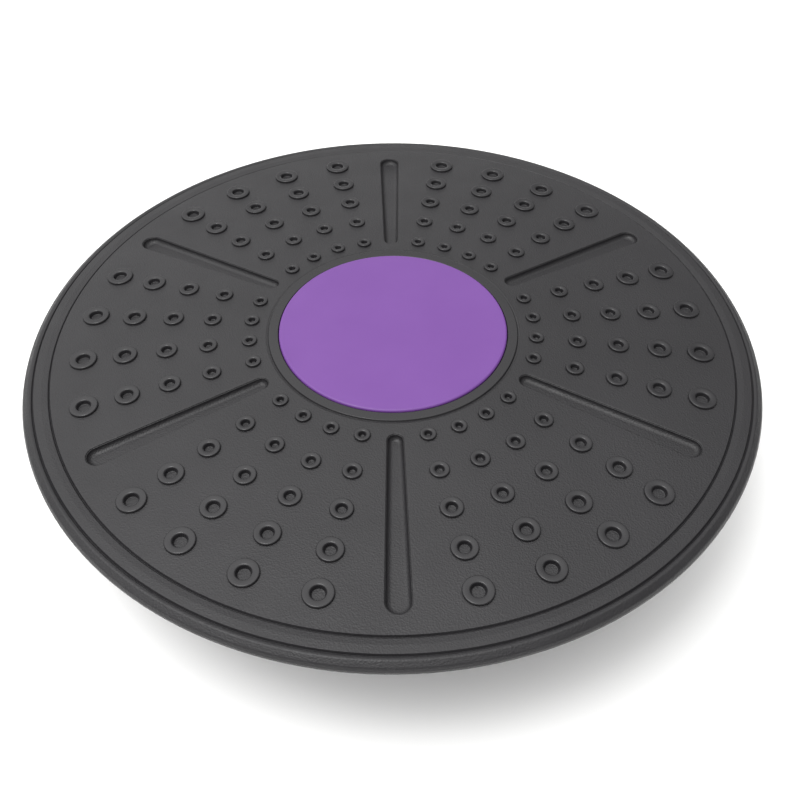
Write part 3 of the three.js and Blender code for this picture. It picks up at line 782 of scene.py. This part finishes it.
def ring_holes(m):
    """The cutters that sink the rings' holes below the deck, with a dished floor."""
    sink = m.ring.hole_sink

    def plug(outer, hole):
        return [(0, 0.5), (hole, 0.5), (hole - 0.3, -sink, 0.5), (0, -sink)]

    return joined([ring_row(m, row, "ring_hole", plug) for row in range(RING_ROWS)])


def groove_cutter(m):
    """A long tapered slot with round ends, a soft lip and a rounded floor, repeated round the deck."""
    g = m.groove
    half_length = (m.groove_end - m.groove_start) / 2
    inner, outer = g.inner_width / 2, g.outer_width / 2
    above = 2  # millimetres that the cutter stands out of the deck
    ends = ((inner - half_length, inner, math.pi / 2), (half_length - outer, outer, -math.pi / 2))
    outline = []
    for x, radius, start in ends:
        reach = radius + g.lip
        for angle in arc(start, math.pi, 18):
            outline.append((x + reach * math.cos(angle), reach * math.sin(angle), above))
    cutter = draw("groove", outline + outline[:1])
    bpy.ops.mesh.remove_doubles(threshold=WELD * MM)
    bpy.ops.mesh.edge_face_add()
    bpy.ops.mesh.extrude_region_move(TRANSFORM_OT_translate={"value": (0, 0, -above * MM)})
    # Steps of (inwards, down): over the lip, down the drafted wall, and round to the floor.
    steps = [(g.lip * math.sin(turn), g.lip * (1 - math.cos(turn))) for turn in arc(0, math.pi / 2, 4)]
    foot_in, foot_down = g.lip + g.draft, g.depth - g.corner
    for turn in arc(0, math.pi / 2, 6):
        steps.append((foot_in + g.corner * (1 - math.cos(turn)), foot_down + g.corner * math.sin(turn)))
    for here, there in zip(steps, steps[1:]):
        bpy.ops.mesh.inset(thickness=(there[0] - here[0]) * MM, depth=0)
        bpy.ops.transform.translate(value=(0, 0, (here[1] - there[1]) * MM))
    close_up()
    middle = (m.groove_start + m.groove_end) / 2
    moved(cutter, (middle, 0, surface(m, middle)), math.atan(m.slope))
    return around(cutter, SECTORS, math.pi / SECTORS)


def polish_where_smooth(m, piece):
    """Gives the ring tops, and all that lies within the collar's edge, the finish without grain."""
    for face in piece.data.polygons:
        centre = face.center / MM
        radius = math.hypot(centre.x, centre.y)
        proud = centre.z - surface(m, radius)
        on_ring = proud > 0.05 and m.collar + 1 < radius < m.inner_line - 1
        if on_ring or radius < m.collar + 0.2:
            face.material_index = 1


class BOARD_OT_deck(bpy.types.Operator):
    """Model the deck: one spun moulding with rings, grooves, ribs and screw holes"""

    bl_idname = "board.deck"
    bl_label = "Deck"

    def execute(self, context):
        m = measures()
        g = m.groove
        half_sector = math.pi / SECTORS
        deck = spun("deck_moulding", deck_section(m))
        bar_start = m.housing + 2 * m.gap
        rib = radial_bar(
            m, "rib", bar_start, m.radius - m.deck.rim_wall / 2, lambda r: rib_bottom(m, r), m.deck.rib
        )
        trough = radial_bar(
            m, "trough", bar_start, m.groove_end + g.wall,
            lambda r: surface(m, r) - g.depth - g.wall, g.outer_width + 2 * g.wall,
        )
        combine(deck, "UNION", around(trough, SECTORS, half_sector))
        combine(deck, "UNION", around(rib, RIB_COUNT, half_sector))
        combine(deck, "UNION", massage_rings(m))
        combine(deck, "DIFFERENCE", ring_holes(m))
        combine(deck, "DIFFERENCE", groove_cutter(m))
        holes = (m.screw.deck_pitch, m.deck_seat - 1, m.recess - m.gap, m.recess + 1)
        combine(deck, "DIFFERENCE", screw_cutter(m, "deck_screw_hole", *holes))
        finish_with(deck, finishes().grained)
        deck.data.materials.append(finishes().smooth)
        polish_where_smooth(m, deck)
        settle(deck, "deck", "black_plastic", "deck")
        return {"FINISHED"}


class BOARD_OT_centre_disc(bpy.types.Operator):
    """Model the purple disc in the middle of the deck"""

    bl_idname = "board.centre_disc"
    bl_label = "Centre disc"

    def execute(self, context):
        m = measures()
        d = m.deck
        skirt = m.base.well - m.gap
        skirt_inner = skirt - d.skirt_wall
        skirt_bottom = m.disc_under - d.skirt_depth
        disc = spun("centre_disc_moulding", [
            (0, m.disc_under),
            (skirt_inner, m.disc_under, 0.3),
            (skirt_inner, skirt_bottom, 0.3),
            (skirt, skirt_bottom, 0.4),
            (skirt, m.disc_under, 0.3),
            (d.disc_radius, m.disc_under, 0.2),
            (d.disc_radius, d.board_height, d.disc_round),
            (0, d.board_height),
        ])
        finish_with(disc, finishes().purple)
        settle(disc, "deck", "disc_plastic", "centre_disc")
        return {"FINISHED"}


# ---------------------------------------------------------------- bearing housing


class BOARD_OT_housing(bpy.types.Operator):
    """Model the bearing housing under the deck"""

    bl_idname = "board.housing"
    bl_label = "Bearing housing"

    def execute(self, context):
        m = measures()
        b = m.base
        under = m.housing_top - b.housing_top
        wall = b.housing_wall
        bush_hole = b.bolt + m.gap + b.bush_wall + m.gap
        box_outer, box_inner = m.race_outer + m.gap, m.race_inner - m.gap
        race_lip = m.race_seat - b.race_recess
        skirt_bottom = b.plate_top + b.run_gap

        def rib(outer, inner, bottom):
            return [(outer, under, 0.5), (outer, bottom, 0.3), (inner, bottom, 0.3), (inner, under, 0.5)]

        housing = spun("bearing_housing_moulding", [
            (bush_hole, m.web_top, 0.3),
            (b.well, m.web_top, 1),
            (b.well, m.housing_top, 0.4),
            (m.housing, m.housing_top, 0.6),
            (m.housing, skirt_bottom, 0.8),
            (m.skirt_inner, skirt_bottom, 0.5),
            (m.skirt_inner, under, 1),
            *rib(box_outer + wall, box_outer, race_lip),
            *rib(m.ball_pitch + wall / 2, m.ball_pitch - wall / 2, m.race_seat),
            *rib(box_inner, box_inner - wall, race_lip),
            (b.well + wall, under, 1),
            (b.well + wall, m.web_bottom, 0.5),
            (bush_hole, m.web_bottom, 0.3),
        ])
        buried = m.housing_top - b.housing_top / 2
        inner, outer = b.well + wall / 2, box_inner - wall / 2
        spoke = fin("spoke", [
            (inner, m.race_seat),
            (outer, m.race_seat),
            (outer, buried),
            (inner, buried),
        ], b.spoke)
        boss = rod("boss", m.screw.boss, under - m.screw.boss_depth, buried, m.screw.deck_pitch)
        pilot_bottom = m.recess - 2 * m.gap - m.screw.deck_length
        pilot = rod("pilot", m.screw.shank + m.gap, pilot_bottom, m.housing_top + 1, m.screw.deck_pitch)
        combine(housing, "UNION", around(spoke, SCREW_COUNT, math.pi / SCREW_COUNT))
        combine(housing, "UNION", around(boss, SCREW_COUNT))
        combine(housing, "DIFFERENCE", around(pilot, SCREW_COUNT))
        finish_with(housing, finishes().plain)
        settle(housing, "deck", "black_plastic", "bearing_housing")
        return {"FINISHED"}


# ---------------------------------------------------------------- base


def sphere_arc(m, sphere_radius, start, end, steps):
    """Points along one of the dome's spheres between two heights."""
    first = math.acos((m.sphere_height - start) / sphere_radius)
    last = math.acos((m.sphere_height - end) / sphere_radius)
    angles = [between(first, last, k / steps) for k in range(steps + 1)]
    return [(sphere_radius * math.sin(a), m.sphere_height - sphere_radius * math.cos(a)) for a in angles]


class BOARD_OT_dome(bpy.types.Operator):
    """Model the rounded dome that the board rocks on"""

    bl_idname = "board.dome"
    bl_label = "Dome"

    def execute(self, context):
        m = measures()
        b = m.base
        bead_bottom = m.dome_top - b.bead_height
        outer = sphere_arc(m, b.sphere, b.pad_proud, bead_bottom - b.bead, 28)
        inner = sphere_arc(m, m.dome_inner, m.dome_top, m.dome_floor, 24)
        dome = spun("dome_moulding", [
            (0, m.pad_recess),
            (b.pad_radius + m.gap, m.pad_recess, 0.3),
            (*outer[0], 0.6),
            *outer[1:-1],
            (*outer[-1], 1),
            (m.plate_radius, bead_bottom, 0.6),
            (m.plate_radius, m.dome_top, 0.5),
            *inner[:-1],
            (*inner[-1], 2),
            (0, m.dome_floor),
        ], BASE_STEPS)
        post_bottom = m.pad_recess + b.wall / 2
        post = rod("post", b.post, post_bottom, m.dome_top, b.post_pitch)
        bulkhead = fin("bulkhead", [
            (b.post_pitch, post_bottom),
            *sphere_arc(m, b.sphere - b.wall / 2, post_bottom, m.dome_top - b.bulkhead_drop, 12),
            (b.post_pitch, m.dome_top - b.bulkhead_drop),
        ], b.bulkhead)
        pilot_bottom = b.plate_top - 2 * m.gap - m.screw.dome_length
        pilot = rod("pilot", m.screw.shank + m.gap, pilot_bottom, m.dome_top + 1, b.post_pitch)
        combine(dome, "UNION", around(post, SCREW_COUNT))
        combine(dome, "UNION", around(bulkhead, SCREW_COUNT))
        combine(dome, "DIFFERENCE", around(pilot, SCREW_COUNT))
        finish_with(dome, finishes().purple)
        settle(dome, "base", "purple_plastic", "dome_shell")
        return {"FINISHED"}


class BOARD_OT_dome_plate(bpy.types.Operator):
    """Model the plate that closes the dome and carries the lower race"""

    bl_idname = "board.dome_plate"
    bl_label = "Dome plate"

    def execute(self, context):
        m = measures()
        b = m.base
        spigot_bottom = m.plate_bottom - b.spigot
        spigot = sphere_at(m, m.dome_inner, spigot_bottom) - m.gap
        boss_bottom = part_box("pivot_bolt")[0].z / MM - m.gap
        hole = b.bolt + m.gap
        seat_outer, seat_inner = m.race_outer + m.gap, m.race_inner - m.gap
        seat = b.plate_top - b.race_recess
        lip_top = b.plate_top + b.lip_height
        plate = spun("dome_plate_moulding", [
            (hole, boss_bottom),
            (b.boss, boss_bottom, 0.5),
            (b.boss, m.plate_bottom, 0.8),
            (spigot - b.spigot_wall, m.plate_bottom, 0.6),
            (spigot - b.spigot_wall, spigot_bottom, 0.4),
            (spigot, spigot_bottom, 0.6),
            (spigot, m.plate_bottom, 0.2),
            (m.plate_radius, m.plate_bottom, 0.5),
            (m.plate_radius, b.plate_top, 0.8),
            (m.lip_outer, b.plate_top, 0.4),
            (m.lip_outer, lip_top, 0.6),
            (m.lip_inner, lip_top, 0.6),
            (m.lip_inner, b.plate_top, 0.6),
            (seat_outer, b.plate_top, 0.3),
            (seat_outer, seat, 0.1),
            (seat_inner, seat, 0.1),
            (seat_inner, b.plate_top, 0.3),
            (hole, b.plate_top, 0.3),
        ], BASE_STEPS)
        bpy.ops.object.select_all(action="DESELECT")
        across_flats = b.bolt_flats + 2 * m.gap
        bpy.ops.mesh.primitive_cylinder_add(
            vertices=6,
            radius=across_flats / 2 / math.cos(math.pi / 6) * MM,
            depth=(spigot_bottom - boss_bottom + 1) * MM,
            location=(0, 0, (spigot_bottom + boss_bottom - 1) / 2 * MM),
        )
        pocket = bpy.context.object
        pick(pocket)
        bpy.ops.object.transform_apply(location=True, rotation=True, scale=True)
        combine(plate, "DIFFERENCE", turned(pocket, math.pi / 6))
        holes = (b.post_pitch, m.plate_bottom - 1, b.plate_top - m.gap, b.plate_top + 1)
        combine(plate, "DIFFERENCE", screw_cutter(m, "dome_screw_hole", *holes))
        finish_with(plate, finishes().plain)
        settle(plate, "base", "black_plastic", "dome_plate")
        return {"FINISHED"}


class BOARD_OT_foot_pad(bpy.types.Operator):
    """Model the rubber foot under the dome"""

    bl_idname = "board.foot_pad"
    bl_label = "Foot pad"

    def execute(self, context):
        m = measures()
        b = m.base
        grooves = []
        lean = 0.3  # how far a groove's sides lean
        for inner in PAD_GROOVES:
            outer, roof = inner + b.pad_groove, b.pad_groove_depth
            grooves += [
                (inner, 0, 0.3),
                (inner + lean, roof, 0.3),
                (outer - lean, roof, 0.3),
                (outer, 0, 0.3),
            ]
        pad = spun("foot_pad_moulding", [
            (0, 0),
            *grooves,
            (b.pad_radius, 0, 1),
            (b.pad_radius, b.pad_thickness, 0.3),
            (0, b.pad_thickness),
        ], PAD_STEPS)
        finish_with(pad, finishes().rubber)
        settle(pad, "base", "pad_rubber", "foot_pad")
        return {"FINISHED"}


# ---------------------------------------------------------------- bearing and pivot

CARRIED_OVER = {
    "zinc": (
        "lower_race", "upper_race", "pivot_bolt", "steel_washer", "lock_nut", "dome_screw", "deck_screw",
    ),
    "balls": ("ball_0", "ball_1"),
    "acetal": ("ball_cage", "pivot_bush"),
    "nylon": ("thrust_washer",),
}


class BOARD_OT_metalwork(bpy.types.Operator):
    """Give the races, balls, bolt, washers and screws their finishes"""

    bl_idname = "board.metalwork"
    bl_label = "Bearing and pivot"

    def execute(self, context):
        for finish, prefixes in CARRIED_OVER.items():
            for name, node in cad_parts.items():
                if name.startswith(prefixes):
                    finish_with(node, getattr(finishes(), finish))
        return {"FINISHED"}


# ---------------------------------------------------------------- studio


def add_softbox(name, place, size, power):
    """A rectangular softbox that faces the board."""
    light = bpy.data.lights.new(name, "AREA")
    light.shape = "RECTANGLE"
    light.size, light.size_y = size
    light.energy = power
    softbox = bpy.data.objects.new(name, light)
    softbox.location = place
    softbox.rotation_euler = (-softbox.location).to_track_quat("-Z", "Y").to_euler()
    bpy.context.scene.collection.objects.link(softbox)


class BOARD_OT_studio(bpy.types.Operator):
    """Set the pale floor, the soft light and the camera"""

    bl_idname = "board.studio"
    bl_label = "Studio"

    def execute(self, context):
        scene = context.scene
        settings = scene.board_studio
        bpy.ops.object.select_all(action="DESELECT")
        bpy.ops.mesh.primitive_plane_add(size=12)
        floor = context.object
        floor.name = "floor"
        paper = new_finish("Seamless paper", Roughness=0.9, Base_Color=tuple(scene.board_colours.paper))
        finish_with(floor, paper.material)

        world = bpy.data.worlds.new("light_tent")
        scene.world = world
        world.use_nodes = True
        tree = world.node_tree
        tent = tree.nodes["Background"]
        tent.inputs["Color"].default_value = (1, 1, 1, 1)
        way = add_node(tree, "ShaderNodeTexCoord", {}, {}).outputs["Generated"]
        lean = {"operation": "DOT_PRODUCT", 1: Vector(settings.tent_lean).normalized()}
        height = add_node(tree, "ShaderNodeVectorMath", lean, {0: way}).outputs["Value"]
        spread = {
            "interpolation_type": "SMOOTHSTEP", "From Min": 0.35, "From Max": 1.0,
            "To Min": settings.tent_dim, "To Max": settings.tent_bright,
        }
        strength = add_node(tree, "ShaderNodeMapRange", spread, {"Value": height}).outputs["Result"]
        tree.links.new(strength, tent.inputs["Strength"])

        add_softbox("key_softbox", (-0.35, -0.35, 1.3), (0.5, 0.5), settings.key)
        add_softbox("strip_softbox", (-0.5, 1.4, 0.35), (2.4, 0.5), settings.strip)

        camera = bpy.data.objects.new("camera", bpy.data.cameras.new("camera"))
        camera.data.lens = settings.lens
        camera.location = settings.camera_place
        camera.rotation_euler = settings.camera_turn
        scene.collection.objects.link(camera)
        scene.camera = camera
        scene.view_settings.view_transform = "Standard"
        return {"FINISHED"}


STEPS = (
    BOARD_OT_deck,
    BOARD_OT_centre_disc,
    BOARD_OT_housing,
    BOARD_OT_dome,
    BOARD_OT_dome_plate,
    BOARD_OT_foot_pad,
    BOARD_OT_metalwork,
    BOARD_OT_studio,
)


class BOARD_PT_panel(bpy.types.Panel):
    """Lists the steps that build the balance board"""

    bl_idname = "BOARD_PT_panel"
    bl_label = "Balance Board"
    bl_space_type = "VIEW_3D"
    bl_region_type = "UI"
    bl_category = "Balance Board"

    def draw(self, context):
        for step in STEPS:
            self.layout.operator(step.bl_idname)
        for name in GROUPS:
            box = self.layout.box()
            for key in GROUPS[name].__annotations__:
                box.prop(getattr(context.scene, name), key)


CLASSES = (*GROUPS.values(), *STEPS, BOARD_PT_panel)


def register():
    for item in CLASSES:
        bpy.utils.register_class(item)
    for name, group in GROUPS.items():
        setattr(bpy.types.Scene, name, bpy.props.PointerProperty(type=group))


def unregister():
    for name in GROUPS:
        delattr(bpy.types.Scene, name)
    for item in reversed(CLASSES):
        bpy.utils.unregister_class(item)


def main():
    register()
    for step in STEPS:
        _, _, operator = step.bl_idname.partition(".")
        getattr(bpy.ops.board, operator)()


if __name__ == "__main__":
    main()
